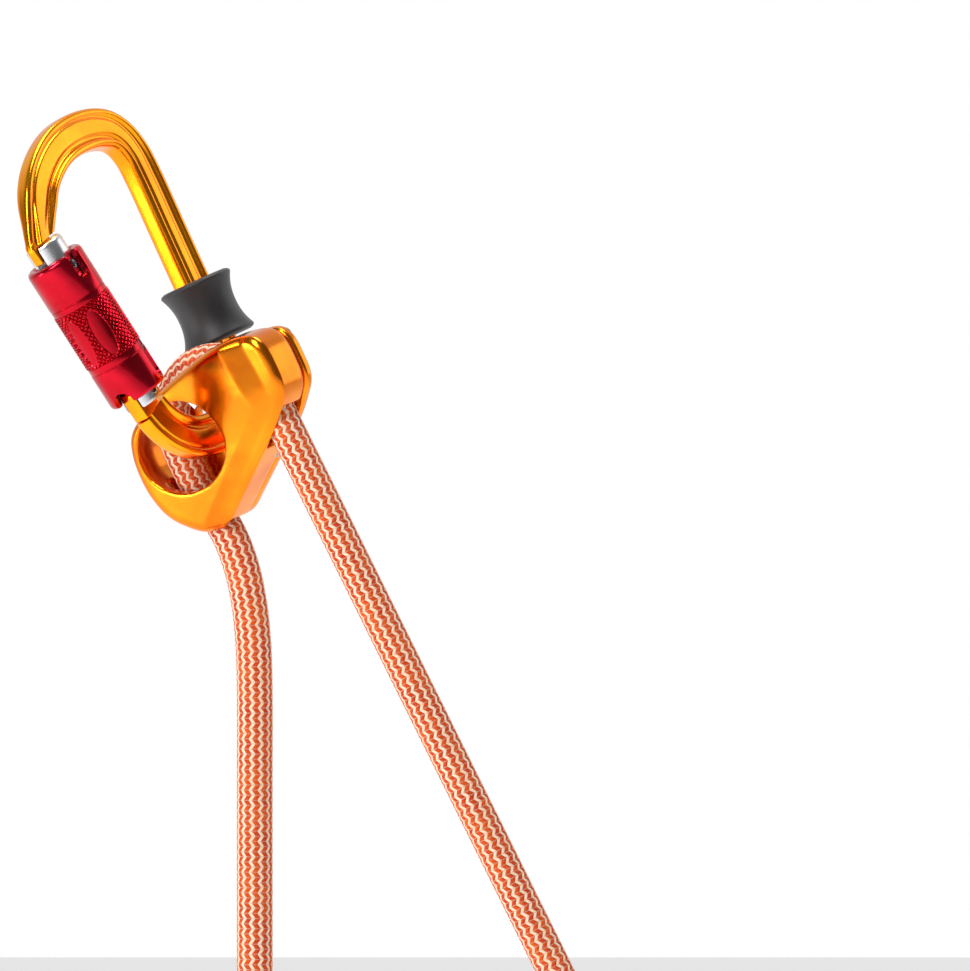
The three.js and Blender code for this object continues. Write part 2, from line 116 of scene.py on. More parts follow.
def frame_matrix():
    turn = Matrix.Rotation(-TILT, 4, "Y") @ Matrix.Rotation(TURN, 4, "Z")
    return turn @ Matrix.Rotation(math.radians(90), 4, "X") @ Matrix.Scale(MM, 4)


CARABINER = frame_matrix()
GATE = CARABINER @ Matrix.Translation((HINGE[0], HINGE[1], 0)) @ Matrix.Rotation(GATE_LEAN, 4, "Z")
ADJUSTER = CARABINER @ Matrix.Rotation(math.radians(-90), 4, "Y")


# ---------- camera ----------

VIEW_DISTANCE = 4.0
VIEW_WIDTH = 0.2553
VIEW_CENTRE = Vector((0.1034, 0, -0.0878))


def make_camera():
    data = bpy.data.cameras.new("camera")
    data.sensor_width = 36
    data.lens = data.sensor_width * VIEW_DISTANCE / VIEW_WIDTH
    data.clip_end = 20
    camera = bpy.data.objects.new("camera", data)
    camera.location = VIEW_CENTRE + Vector((0, -VIEW_DISTANCE, 0))
    camera.rotation_euler = (math.radians(90), 0, 0)
    bpy.context.scene.collection.objects.link(camera)
    bpy.context.scene.camera = camera


make_camera()


# ---------- mesh helpers ----------

def make_object(name, verts, faces, smooth=True):
    mesh = bpy.data.meshes.new(name)
    mesh.from_pydata([tuple(v) for v in verts], [], [tuple(f) for f in faces])
    mesh.update()
    if smooth:
        mesh.polygons.foreach_set("use_smooth", [True] * len(mesh.polygons))
    obj = bpy.data.objects.new(name, mesh)
    bpy.context.scene.collection.objects.link(obj)
    return obj


def place_local(obj, matrix):
    obj.data.transform(matrix)
    obj.data.update()


def modifier(obj, kind, **values):
    item = obj.modifiers.new(kind.lower(), kind)
    for key, value in values.items():
        setattr(item, key, value)
    return item


def settle(obj):
    """Turns the modifiers' result into the mesh itself."""
    bpy.context.view_layer.update()
    graph = bpy.context.evaluated_depsgraph_get()
    mesh = bpy.data.meshes.new_from_object(obj.evaluated_get(graph))
    old = obj.data
    obj.modifiers.clear()
    obj.data = mesh
    bpy.data.meshes.remove(old)


def drop(obj):
    bpy.data.objects.remove(obj)


def cut_out(obj, tool):
    """Takes the tool's shape out of obj, and drops the tool."""
    modifier(obj, "BOOLEAN", operation="DIFFERENCE", object=tool, solver="EXACT")
    settle(obj)
    drop(tool)


def bevel(obj, width, segments, degrees):
    """Rounds each edge that is sharper than the angle."""
    modifier(obj, "BEVEL", width=width, segments=segments, limit_method="ANGLE",
             angle_limit=math.radians(degrees))
    settle(obj)


def smooth_by_angle(obj, degrees):
    obj.data.polygons.foreach_set("use_smooth", [True] * len(obj.data.polygons))
    obj.data.set_sharp_from_angle(angle=math.radians(degrees))


def ring_faces(rings, count, cap=True):
    faces = []
    for i in range(rings - 1):
        for j in range(count):
            k = (j + 1) % count
            faces.append((i * count + j, i * count + k, (i + 1) * count + k, (i + 1) * count + j))
    if cap:
        faces.append(tuple(reversed(range(count))))
        faces.append(tuple((rings - 1) * count + j for j in range(count)))
    return faces


def looped_faces(count, around):
    """Quads from each ring to the next, and from the last ring back to the first."""
    faces = []
    for i in range(count):
        n = (i + 1) % count
        for j in range(around):
            k = (j + 1) % around
            faces.append((i * around + j, i * around + k, n * around + k, n * around + j))
    return faces


def lathe(name, profile, segments):
    """Turns (radius, height) points round the local y axis; the profile closes on itself."""
    verts = []
    for radius, height in profile:
        for j in range(segments):
            angle = 2 * math.pi * j / segments
            verts.append((radius * math.cos(angle), height, -radius * math.sin(angle)))
    obj = make_object(name, verts, looped_faces(len(profile), segments))
    fix_normals(obj)
    return obj


def solid_lathe(name, profile, segments=96):
    """A closed turned solid; the profile starts and ends on the axis."""
    return lathe(name, [(max(r, 1e-4), y) for r, y in profile], segments)


ROD_SEGMENTS = 48


def lathe_rod(name, radius, low, high, at, chamfer=0.0):
    """A rod along z, standing at a point of the x, y plane."""
    rings = [(radius, low), (radius, high)]
    if chamfer:
        rings = [(radius - chamfer, low), (radius, low + chamfer)]
        rings += [(radius, high - chamfer), (radius - chamfer, high)]
    verts = []
    for r, z in rings:
        for j in range(ROD_SEGMENTS):
            a = 2 * math.pi * j / ROD_SEGMENTS
            verts.append((at[0] + r * math.cos(a), at[1] + r * math.sin(a), z))
    obj = make_object(name, verts, ring_faces(len(rings), ROD_SEGMENTS), smooth=False)
    fix_normals(obj)
    return obj


def fix_normals(obj):
    mesh = bmesh.new()
    mesh.from_mesh(obj.data)
    bmesh.ops.remove_doubles(mesh, verts=mesh.verts, dist=1e-6)
    bmesh.ops.recalc_face_normals(mesh, faces=mesh.faces)
    mesh.to_mesh(obj.data)
    mesh.free()


def arc(cx, cy, rx, ry, start, end, count):
    angles = np.radians(np.linspace(start, end, count + 1))
    return [(cx + rx * math.cos(a), cy + ry * math.sin(a)) for a in angles]


def prism(name, points, low, high):
    count = len(points)
    verts = [(x, y, low) for x, y in points] + [(x, y, high) for x, y in points]
    obj = make_object(name, verts, ring_faces(2, count), smooth=False)
    fix_normals(obj)
    return obj


def block(name, low, high):
    (x0, y0, z0), (x1, y1, z1) = low, high
    return prism(name, [(x0, y0), (x1, y0), (x1, y1), (x0, y1)], z0, z1)


def rounded(points, reach, steps):
    """The outline with each corner drawn as a curve that starts reach before it."""
    result = []
    count = len(points)
    for i in range(count):
        corner = np.array(points[i], float)
        before = np.array(points[i - 1], float) - corner
        after = np.array(points[(i + 1) % count], float) - corner
        start = corner + before * min(reach / np.linalg.norm(before), 0.45)
        end = corner + after * min(reach / np.linalg.norm(after), 0.45)
        for t in np.linspace(0, 1, steps + 1):
            result.append(tuple((1 - t) ** 2 * start + 2 * t * (1 - t) * corner + t * t * end))
    return result


def through(points, count):
    """An even walk along the centripetal Catmull-Rom curve through the points."""
    p = np.array(points, float)
    p = np.vstack([2 * p[0] - p[1], p, 2 * p[-1] - p[-2]])
    fine = []
    for i in range(1, len(p) - 2):
        p0, p1, p2, p3 = p[i - 1:i + 3]
        t1 = np.linalg.norm(p1 - p0) ** 0.5
        t2 = t1 + np.linalg.norm(p2 - p1) ** 0.5
        t3 = t2 + np.linalg.norm(p3 - p2) ** 0.5
        for t in np.linspace(t1, t2, 24, endpoint=False)[:, None]:
            a1 = (t1 - t) / t1 * p0 + t / t1 * p1
            a2 = (t2 - t) / (t2 - t1) * p1 + (t - t1) / (t2 - t1) * p2
            a3 = (t3 - t) / (t3 - t2) * p2 + (t - t2) / (t3 - t2) * p3
            b1 = (t2 - t) / t2 * a1 + t / t2 * a2
            b2 = (t3 - t) / (t3 - t1) * a2 + (t - t1) / (t3 - t1) * a3
            fine.append((t2 - t) / (t2 - t1) * b1 + (t - t1) / (t2 - t1) * b2)
    fine = np.vstack([np.array(fine).reshape(-1, p.shape[1]), p[-2]])
    return evenly(fine, count)


def length_of(line):
    return np.linalg.norm(np.diff(line, axis=0), axis=1).sum()


def directions(line):
    """The unit direction of the line at each of its points."""
    ahead = np.gradient(line, axis=0)
    return ahead / np.linalg.norm(ahead, axis=1)[:, None]


def evenly(line, count):
    along = np.concatenate([[0], np.cumsum(np.linalg.norm(np.diff(line, axis=0), axis=1))])
    at = np.linspace(0, along[-1], count)
    return np.stack([np.interp(at, along, line[:, k]) for k in range(line.shape[1])], axis=1)


def smoothstep(x, low, high):
    t = np.clip((x - low) / (high - low), 0, 1)
    return t * t * (3 - 2 * t)


# ---------- node material helpers ----------

class Shader:
    """A small builder for one node material."""

    def __init__(self, name):
        self.material = bpy.data.materials.new(name)
        self.material.use_nodes = True
        self.tree = self.material.node_tree
        self.tree.nodes.clear()
        self.output = self.new("ShaderNodeOutputMaterial")
        self.surface = self.new("ShaderNodeBsdfPrincipled")
        self.tree.links.new(self.surface.outputs[0], self.output.inputs["Surface"])

    def new(self, kind, **values):
        node = self.tree.nodes.new(kind)
        for key, value in values.items():
            setattr(node, key, value)
        return node

    def feed(self, socket, value):
        if isinstance(value, bpy.types.NodeSocket):
            self.tree.links.new(value, socket)
        else:
            socket.default_value = value

    def math(self, operation, *values):
        node = self.new("ShaderNodeMath", operation=operation)
        for socket, value in zip(node.inputs, values):
            self.feed(socket, value)
        return node.outputs[0]

    def spread(self, value, low, high, to_low=0.0, to_high=1.0):
        node = self.new("ShaderNodeMapRange", interpolation_type="SMOOTHSTEP")
        for socket, item in zip(node.inputs, (value, low, high, to_low, to_high)):
            self.feed(socket, item)
        return node.outputs[0]

    def mix(self, factor, a, b):
        node = self.new("ShaderNodeMix", data_type="RGBA")
        self.feed(node.inputs["Factor"], factor)
        self.feed(node.inputs[6], a)
        self.feed(node.inputs[7], b)
        return node.outputs[2]

    def noise(self, scale, detail, roughness, stretch=(1, 1, 1), turn=(0, 0, 0)):
        place = self.new("ShaderNodeTexCoord").outputs["Object"]
        if tuple(stretch) != (1, 1, 1) or tuple(turn) != (0, 0, 0):
            mapping = self.new("ShaderNodeMapping")
            self.feed(mapping.inputs["Vector"], place)
            mapping.inputs["Scale"].default_value = stretch
            mapping.inputs["Rotation"].default_value = turn
            place = mapping.outputs[0]
        node = self.new("ShaderNodeTexNoise")
        self.feed(node.inputs["Vector"], place)
        node.inputs["Scale"].default_value = scale
        node.inputs["Detail"].default_value = detail
        node.inputs["Roughness"].default_value = roughness
        return node.outputs["Fac"]

    def bump(self, height, strength, distance, normal=None):
        node = self.new("ShaderNodeBump")
        node.inputs["Strength"].default_value = strength
        node.inputs["Distance"].default_value = distance
        self.feed(node.inputs["Height"], height)
        if normal is not None:
            self.feed(node.inputs["Normal"], normal)
        return node.outputs[0]

    def set(self, **values):
        for key, value in values.items():
            self.feed(self.surface.inputs[key.replace("_", " ")], value)


def colour(red, green, blue):
    """A screen colour, 0 to 255, as the linear one that a shader takes."""
    def linear(c):
        c /= 255
        return c / 12.92 if c <= 0.04045 else ((c + 0.055) / 1.055) ** 2.4
    return (linear(red), linear(green), linear(blue), 1)


# ---------- materials ----------

def anodised(name, bright, deep, roughness):
    """Forged and anodised aluminium: soft waviness, a fine satin grain and a few hairline rubs."""
    s = Shader(name)
    wave = s.noise(160, 2, 0.4)
    satin = s.noise(5200, 2, 0.6)
    rubs = s.noise(900, 4, 0.75, stretch=(1, 0.16, 5.0), turn=(0.3, 0.9, 0.2))
    worn = s.spread(rubs, 0.66, 0.78)
    base = s.mix(s.spread(s.noise(45, 3, 0.5), 0.3, 0.7), deep, bright)
    base = s.mix(s.math("MULTIPLY", worn, 0.3), base, (1, 0.86, 0.55, 1))
    rough = s.math("ADD", s.math("MULTIPLY", satin, 0.10), roughness - 0.05)
    rough = s.math("ADD", rough, s.math("MULTIPLY", worn, 0.12))
    first = s.bump(satin, 0.16, 0.00006)
    second = s.bump(wave, 0.25, 0.0004, first)
    s.set(Base_Color=base, Roughness=rough, Normal=second, Metallic=1.0, Coat_Weight=0.15,
          Coat_Roughness=0.12)
    return s.material


def bare_metal(name, tone, roughness):
    """Turned or drawn metal with fine tool lines and small blemishes."""
    s = Shader(name)
    fine = s.noise(2600, 3, 0.6)
    stain = s.noise(90, 4, 0.6)
    base = s.mix(s.spread(stain, 0.35, 0.75), tone, tuple(c * 0.82 for c in tone[:3]) + (1,))
    rough = s.math("ADD", s.math("MULTIPLY", fine, 0.12), roughness - 0.06)
    s.set(Base_Color=base, Roughness=rough, Normal=s.bump(fine, 0.12, 0.00005), Metallic=1.0)
    return s.material


def rubber_material():
    s = Shader("keeper_rubber")
    grain = s.noise(3400, 4, 0.7)
    cloud = s.noise(120, 4, 0.6)
    base = s.mix(s.spread(cloud, 0.3, 0.75), colour(12, 12, 13), colour(23, 23, 25))
    dust = s.spread(s.noise(2600, 2, 0.8), 0.68, 0.8)
    base = s.mix(s.math("MULTIPLY", dust, 0.14), base, colour(84, 84, 86))
    rough = s.math("ADD", s.math("MULTIPLY", cloud, 0.16), 0.42)
    s.set(Base_Color=base, Roughness=rough, Normal=s.bump(grain, 0.4, 0.00012), Sheen_Weight=0.15)
    return s.material


PAIRS = 12
ZIGZAG_PERIOD = 2.7
ZIGZAG_SHIFT = 0.40
WHITE_SHARE = 0.45
SHEATH_DEPTH = 0.34


def fold(x):
    """A triangle wave from 0 to 1 and back, period 1."""
    return 1 - np.abs(2 * (x - np.floor(x)) - 1)


def sheath_height(turns, length):
    """How far each point of the woven sheath stands up, 0 to 1."""
    sway = fold(length / ZIGZAG_PERIOD)
    band = turns * PAIRS + (sway - 0.5) * ZIGZAG_SHIFT
    band = band - np.floor(band)
    white = band < WHITE_SHARE
    across = np.where(white, (band - WHITE_SHARE / 2) / (WHITE_SHARE / 2),
                      (band - (1 + WHITE_SHARE) / 2) / ((1 - WHITE_SHARE) / 2))
    crown = np.sqrt(np.clip(1 - across ** 2, 0, 1))
    stitch = 1 - np.abs(2 * sway - 1) ** 5
    return crown * (0.55 + 0.45 * stitch)


def rope_material(name, orange, deep, white):
    """A woven sheath: lengthwise zigzag bands of two yarns.

    UV is turns round the rope and millimetres along it.
    """
    s = Shader(name)
    uv = s.new("ShaderNodeSeparateXYZ")
    s.tree.links.new(s.new("ShaderNodeTexCoord").outputs["UV"], uv.inputs[0])
    turns, length = uv.outputs[0], uv.outputs[1]
    fuzz = s.noise(2600, 4, 0.75)
    stray = s.math("MULTIPLY", s.math("SUBTRACT", fuzz, 0.5), 0.10)
    sway = s.math("PINGPONG", s.math("DIVIDE", length, ZIGZAG_PERIOD / 2), 1.0)
    shift = s.math("MULTIPLY", s.math("SUBTRACT", sway, 0.5), ZIGZAG_SHIFT)
    band = s.math("ADD", s.math("ADD", s.math("MULTIPLY", turns, PAIRS), shift), stray)
    band = s.math("FRACT", s.math("ADD", band, 100.0))
    from_white = s.math("ABSOLUTE", s.math("SUBTRACT", band, WHITE_SHARE / 2))
    from_white = s.math("MINIMUM", from_white, s.math("SUBTRACT", 1.0, from_white))
    is_white = s.spread(from_white, WHITE_SHARE / 2 - 0.03, WHITE_SHARE / 2 + 0.03, 1.0, 0.0)
    # Painted shade: the colour is darkened along the creases between the yarn bands and at the zigzag
    # joints.
    edge = s.math("ABSOLUTE", s.math("SUBTRACT", from_white, WHITE_SHARE / 2))
    crease = s.spread(edge, 0.0, 0.11, 1.0, 0.0)
    joint = s.spread(s.math("ABSOLUTE", s.math("SUBTRACT", sway, 0.5)), 0.34, 0.48)
    shade = s.math("MAXIMUM", crease, s.math("MULTIPLY", joint, 0.6))
    fibres = s.noise(7000, 2, 0.7, stretch=(1, 1, 0.25))
    patch = s.noise(220, 3, 0.6)
    dye = s.mix(s.spread(patch, 0.3, 0.7), deep, orange)
    dye = s.mix(s.math("MULTIPLY", s.spread(fibres, 0.45, 0.7), 0.3), dye, colour(246, 132, 36))
    pale = s.mix(s.math("MULTIPLY", s.spread(patch, 0.35, 0.75), 0.5), white, colour(246, 186, 140))
    dye = s.mix(s.math("MULTIPLY", joint, 0.5), dye, pale)
    base = s.mix(is_white, dye, pale)
    # Painted shade colours for those creases, one for the orange yarn and one for the white.
    dark = s.mix(is_white, colour(140, 24, 8), colour(214, 120, 84))
    base = s.mix(s.math("MULTIPLY", shade, 0.62), base, dark)
    height = s.math("ADD", s.math("MULTIPLY", fibres, 0.5), s.math("MULTIPLY", fuzz, 0.5))
    height = s.math("SUBTRACT", height, s.math("MULTIPLY", shade, 0.9))
    s.set(Base_Color=base, Normal=s.bump(height, 0.5, 0.00022), Roughness=0.78, Sheen_Weight=0.06,
          Sheen_Roughness=0.5, Specular_IOR_Level=0.2)
    return s.material


def webbing_material(name, light, dark, pitch):
    """Ribbed polyester webbing: UV is millimetres across and along."""
    s = Shader(name)
    uv = s.new("ShaderNodeSeparateXYZ")
    s.tree.links.new(s.new("ShaderNodeTexCoord").outputs["UV"], uv.inputs[0])
    across = s.math("PINGPONG", s.math("DIVIDE", uv.outputs[0], pitch), 1.0)
    rows = s.math("PINGPONG", s.math("ADD", s.math("DIVIDE", uv.outputs[1], pitch * 0.6), across), 1.0)
    weave = s.math("MULTIPLY", rows, s.math("ADD", s.math("MULTIPLY", across, 0.5), 0.5))
    fibre = s.noise(5200, 3, 0.7)
    base = s.mix(s.spread(weave, 0.1, 0.8), dark, light)
    base = s.mix(s.math("MULTIPLY", s.spread(fibre, 0.55, 0.8), 0.25), base, colour(120, 122, 128))
    height = s.math("ADD", weave, s.math("MULTIPLY", fibre, 0.3))
    s.set(Base_Color=base, Normal=s.bump(height, 0.55, 0.0003), Roughness=0.72, Sheen_Weight=0.2)
    return s.material


def moulded_material(name, light, dark):
    s = Shader(name)
    grain = s.noise(2100, 3, 0.6)
    base = s.mix(s.spread(s.noise(70, 3, 0.5), 0.3, 0.7), dark, light)
    s.set(Base_Color=base, Normal=s.bump(grain, 0.3, 0.0001), Roughness=0.42)
    return s.material


GOLD = anodised("gold_anodised", colour(255, 166, 14), colour(250, 138, 4), 0.2)
ORANGE = anodised("orange_anodised", colour(246, 144, 18), colour(228, 106, 6), 0.2)
RED = anodised("red_anodised", colour(214, 14, 44), colour(168, 4, 22), 0.2)
# Painted shade: a dark red that the faces inside the sleeve's notch and recess take, for the shade in them.
CUT_SHADE_RED = anodised("painted_cut_shade_red", colour(70, 4, 16), colour(40, 2, 8), 0.42)
SILVER = bare_metal("bare_aluminium", colour(226, 227, 230), 0.26)
STEEL = bare_metal("pin_steel", colour(178, 180, 186), 0.24)
RUBBER = rubber_material()
ROPE = rope_material("rope_sheath", colour(214, 76, 2), colour(188, 42, 2), colour(246, 216, 188))
TAPE = webbing_material("tie_webbing", colour(52, 53, 58), colour(22, 22, 25), 0.8)
PLASTIC = moulded_material("moulded_black", colour(46, 47, 51), colour(30, 31, 34))


def finish_piece(obj, matrix, material, body, replaces):
    """Places a piece that is in local millimetres, gives it its material and body, and hides the CAD nodes
    that it replaces.
    """
    place_local(obj, matrix)
    obj.data.materials.clear()
    obj.data.materials.append(material)
    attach(obj, body)
    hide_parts(*replaces)


# ---------- ropes ----------

def carried_frames(line):
    """Two directions across the line at each point, turning as little as they can."""
    ahead = directions(line)
    side = np.cross(ahead[0], [0, 1, 0])
    if np.linalg.norm(side) < 0.1:
        side = np.cross(ahead[0], [1, 0, 0])
    side /= np.linalg.norm(side)
    sides = [side]
    for i in range(1, len(line)):
        side = sides[-1] - ahead[i] * np.dot(sides[-1], ahead[i])
        sides.append(side / np.linalg.norm(side))
    sides = np.array(sides)
    return sides, np.cross(ahead, sides)


def rope_mesh(name, line, spacing, around, start=0.0):
    """A rope along line, millimetres, with its woven sheath in relief."""
    total = length_of(line)
    line = evenly(line, int(total / spacing) + 1)
    sides, ups = carried_frames(line)
    along = start + np.linspace(0, total, len(line))
    turns = np.arange(around) / around
    reach = ROPE_R - SHEATH_DEPTH * (1 - sheath_height(turns[None, :], along[:, None]))
    angle = 2 * math.pi * turns
    spot = sides[:, None, :] * np.cos(angle)[None, :, None] + ups[:, None, :] * np.sin(angle)[None, :, None]
    verts = line[:, None, :] + spot * reach[:, :, None]
    obj = make_object(name, verts.reshape(-1, 3), ring_faces(len(line), around))
    layer = obj.data.uv_layers.new(name="sheath")
    corners = np.empty(len(obj.data.loops), int)
    obj.data.loops.foreach_get("vertex_index", corners)
    ring, place = corners // around, corners % around
    quads = 4 * (len(line) - 1) * around
    wrapped = place.astype(float)
    closing = place[:quads].reshape(-1, 4)
    seam = closing.max(1, keepdims=True) - closing.min(1, keepdims=True) > 1
    wrapped[:quads] = np.where(seam, np.where(closing == 0, around, closing), closing).reshape(-1)
    uvs = np.stack([wrapped / around, along[ring]], 1)
    layer.data.foreach_set("uv", uvs.astype(np.float32).reshape(-1))
    return obj, line


CURVE_STEP = 0.5


def curve_of(points):
    fine = through(points, 2000)
    return evenly(fine, int(length_of(fine) / CURVE_STEP) + 1)


TAIL_ROUTE = [
    (30.73, 7.69, -92.1), (33.6, 7.1, -96.5), (36.6, 6.6, -102), (39.2, 6.1, -109), (41.2, 5.6, -118),
    (42.4, 5.3, -129), (42.8, 5.2, -142), (42.8, 5.2, -165), (42.8, 5.2, -192), (42.8, 5.2, -221.7),
]
HANK_X = 42.8
HANK_Z = -300
FOLD_R = 23.0
FRONT_Y = 5.2
BACK_Y = 14.9
FOLD_RISE = 50
HANK_BOTTOM = -378
LOAD_START = np.array([49.9, -12.94, -69.97])
LOAD_DIRECTION = np.array([0.444, 0, -0.896]) / math.hypot(0.444, 0.896)
LOAD_LENGTH = 168
EYE_SLEEVE = {"width": 22, "thickness": 12.5, "length": 34}
EYE_LENGTH = 34
TAIL_STOP = {"width": 21, "thickness": 12.5, "length": 22}
RUN_HALF = 5.1
TIE = {"half_x": 10.3, "half_y": 10.1, "half_height": 11, "walls": (0.25, 1.75), "mean_r": 11}


def hank_side(z):
    """How far a run stands off the middle at this height."""
    return RUN_HALF + (FOLD_R - RUN_HALF) * float(smoothstep(abs(z - HANK_Z), 6, FOLD_RISE))


def hank_route():
    """The tail's folded part: down the middle, out to the left and round the bottom fold, then up,
    round the top fold behind, and down the back.
    """
    x, z = HANK_X, HANK_Z
    points = [(x, FRONT_Y, z + 76), (x, FRONT_Y, z + 66), (x, FRONT_Y, z + 54), (x - 0.8, FRONT_Y, z + 38),
              (x - 2.8, FRONT_Y, z + 22)]
    for height in (8, -4, -14, -24, -34, -43):
        points.append((x - hank_side(z + height) + (1.0 if height == 8 else 0), FRONT_Y, z + height))
    low, high = z - FOLD_RISE, z + FOLD_RISE
    for angle in range(180, 361, 15):
        a = math.radians(angle)
        points.append((x + FOLD_R * math.cos(a), FRONT_Y, low + FOLD_R * math.sin(a)))
    for height in (-43, -34, -24, -14, -4, 6, 16, 26, 36, 44):
        back = FRONT_Y + (BACK_Y - FRONT_Y) * float(smoothstep(height, 6, 66))
        points.append((x + hank_side(z + height), back, z + height))
    for angle in range(0, 181, 15):
        a = math.radians(angle)
        height = FOLD_RISE + FOLD_R * math.sin(a)
        back = FRONT_Y + (BACK_Y - FRONT_Y) * (float(smoothstep(height, 6, 66)) if angle < 90 else 1)
        points.append((x + FOLD_R * math.cos(a), back, high + FOLD_R * math.sin(a)))
    for height in (43, 33, 23, 14):
        points.append((x - FOLD_R * float(smoothstep(height, 2, 50)), BACK_Y, z + height))
    points += [(x - 0.3, BACK_Y, z + 4), (x, BACK_Y, z - 8), (x, BACK_Y, z - 24), (x, BACK_Y, z - 44),
               (x, BACK_Y, z - 62), (x, BACK_Y, HANK_BOTTOM)]
    return points


def along_load(distance):
    return LOAD_START + LOAD_DIRECTION * distance


def load_matrix():
    turn = Vector((0, 0, -1)).rotation_difference(Vector(LOAD_DIRECTION)).to_matrix().to_4x4()
    return Matrix.Translation(Vector(along_load(LOAD_LENGTH + GAP))) @ turn


ROW = Matrix.Scale(MM, 4)
LEANED = ROW @ load_matrix()


BLOCK_POWER = 4.0
BLOCK_ROWS = 40
BLOCK_AROUND = 64


def superblock(name, size, waist):
    """A moulded block hanging from z 0, rounded all over; waist draws its middle in."""
    verts = []
    for i in range(BLOCK_ROWS + 1):
        share = i / BLOCK_ROWS
        end = 1 - abs(2 * share - 1) ** 14 * 0.22
        pinch = 1 - waist * math.sin(math.pi * share) ** 2
        for j in range(BLOCK_AROUND):
            a = 2 * math.pi * j / BLOCK_AROUND
            c, s = math.cos(a), math.sin(a)
            x = math.copysign(abs(c) ** (2 / BLOCK_POWER), c) * size["width"] / 2 * end * pinch
            y = math.copysign(abs(s) ** (2 / BLOCK_POWER), s) * size["thickness"] / 2 * end * pinch
            verts.append((x, y, -size["length"] * share))
    obj = make_object(name, verts, ring_faces(BLOCK_ROWS + 1, BLOCK_AROUND))
    fix_normals(obj)
    return obj


def eye_line():
    half = EYE_SLEEVE["width"] / 2 - ROPE_R - 0.8
    top = -EYE_SLEEVE["length"] + 3
    face = -EYE_SLEEVE["length"] - 2 * GAP
    bend = half + 3
    low = face - EYE_LENGTH
    left = [(-half, 0, top), (-half, 0, face - 2.5), (-half - 1, 0, face - 8), (-bend, 0, face - 15),
            (-bend, 0, low + bend)]
    right = [(-x, y, z) for x, y, z in reversed(left)]
    bottom = [(bend * math.cos(math.radians(a)), 0, low + bend + bend * math.sin(math.radians(a)))
              for a in range(200, 341, 20)]
    return curve_of(left + bottom + right)


def build_ropes():
    route = TAIL_ROUTE[:-1] + hank_route()
    tail, tail_line = rope_mesh("tail_rope", curve_of(route), 0.36, 84)
    finish_piece(tail, ROW, ROPE, "adjuster", ["tail_strand", "tail_hank"])

    ends = np.array([along_load(-3), along_load(LOAD_LENGTH + 4)])
    load, load_line = rope_mesh("load_rope", ends, 0.3, 96, start=1.1)
    finish_piece(load, ROW, ROPE, "adjuster", ["load_strand"])

    sleeve = superblock("load_eye_sleeve_moulded", EYE_SLEEVE, 0.06)
    finish_piece(sleeve, LEANED, PLASTIC, "adjuster", ["load_eye_sleeve"])
    loop, _ = rope_mesh("load_eye_rope", eye_line(), 0.4, 72)
    finish_piece(loop, LEANED, ROPE, "adjuster", ["load_eye"])

    stop = superblock("tail_stop_moulded", TAIL_STOP, 0.05)
    stop.data.transform(Matrix.Translation((HANK_X, BACK_Y, HANK_BOTTOM - GAP)))
    finish_piece(stop, ROW, PLASTIC, "adjuster", ["tail_stop"])

    tie = build_tie()


def build_tie():
    """A plain webbing band round the waist of the hank."""
    around, rows = 160, 40
    middle = (FRONT_Y + BACK_Y) / 2
    half = TIE["half_height"]
    walls = []
    for wall in TIE["walls"]:
        ring = []
        for j in range(around):
            a = 2 * math.pi * j / around
            c, s = math.cos(a), math.sin(a)
            x = math.copysign(abs(c) ** 0.55, c) * (TIE["half_x"] + wall)
            y = math.copysign(abs(s) ** 0.55, s) * (TIE["half_y"] + wall)
            ring.append((x, y))
        walls.append(ring)
    rings = []
    for i in range(rows + 1):
        z = -half + 2 * half * i / rows
        edge = 0.35 * abs(2 * i / rows - 1) ** 10
        rings.append([(x * (1 - edge / 12), y * (1 - edge / 12), z) for x, y in walls[1]])
    rings += [[(x, y, z) for x, y in walls[0]] for z in (half, -half)]
    verts = [(HANK_X + x, middle + y, HANK_Z + z) for ring in rings for x, y, z in ring]
    obj = make_object("hank_tie_webbing", verts, looped_faces(len(rings), around))
    girth = 2 * math.pi * TIE["mean_r"]
    layer = obj.data.uv_layers.new(name="weave")
    for polygon in obj.data.polygons:
        for loop in polygon.loop_indices:
            v = obj.data.loops[loop].vertex_index
            layer.data[loop].uv = (obj.data.vertices[v].co.z, (v % around) / around * girth)
    finish_piece(obj, ROW, TAPE, "adjuster", ["hank_tie"])
    return obj


build_ropes()


# ---------- carabiner ----------

def body_line(count):
    bend = arc(BASKET_ROUND_X, BASKET_Y + SPINE_ROUND, SPINE_ROUND, SPINE_ROUND, 0, -90, 8)
    reach = HINGE_ROUND[1] - BASKET_Y
    hook = arc(HINGE_ROUND[0], HINGE_ROUND[1], reach, reach, -90, -160, 6)
    points = TOP_BEND + [(SPINE_X, y) for y in (-12, -26, -40, -54)] + bend + hook
    return through(points, count)


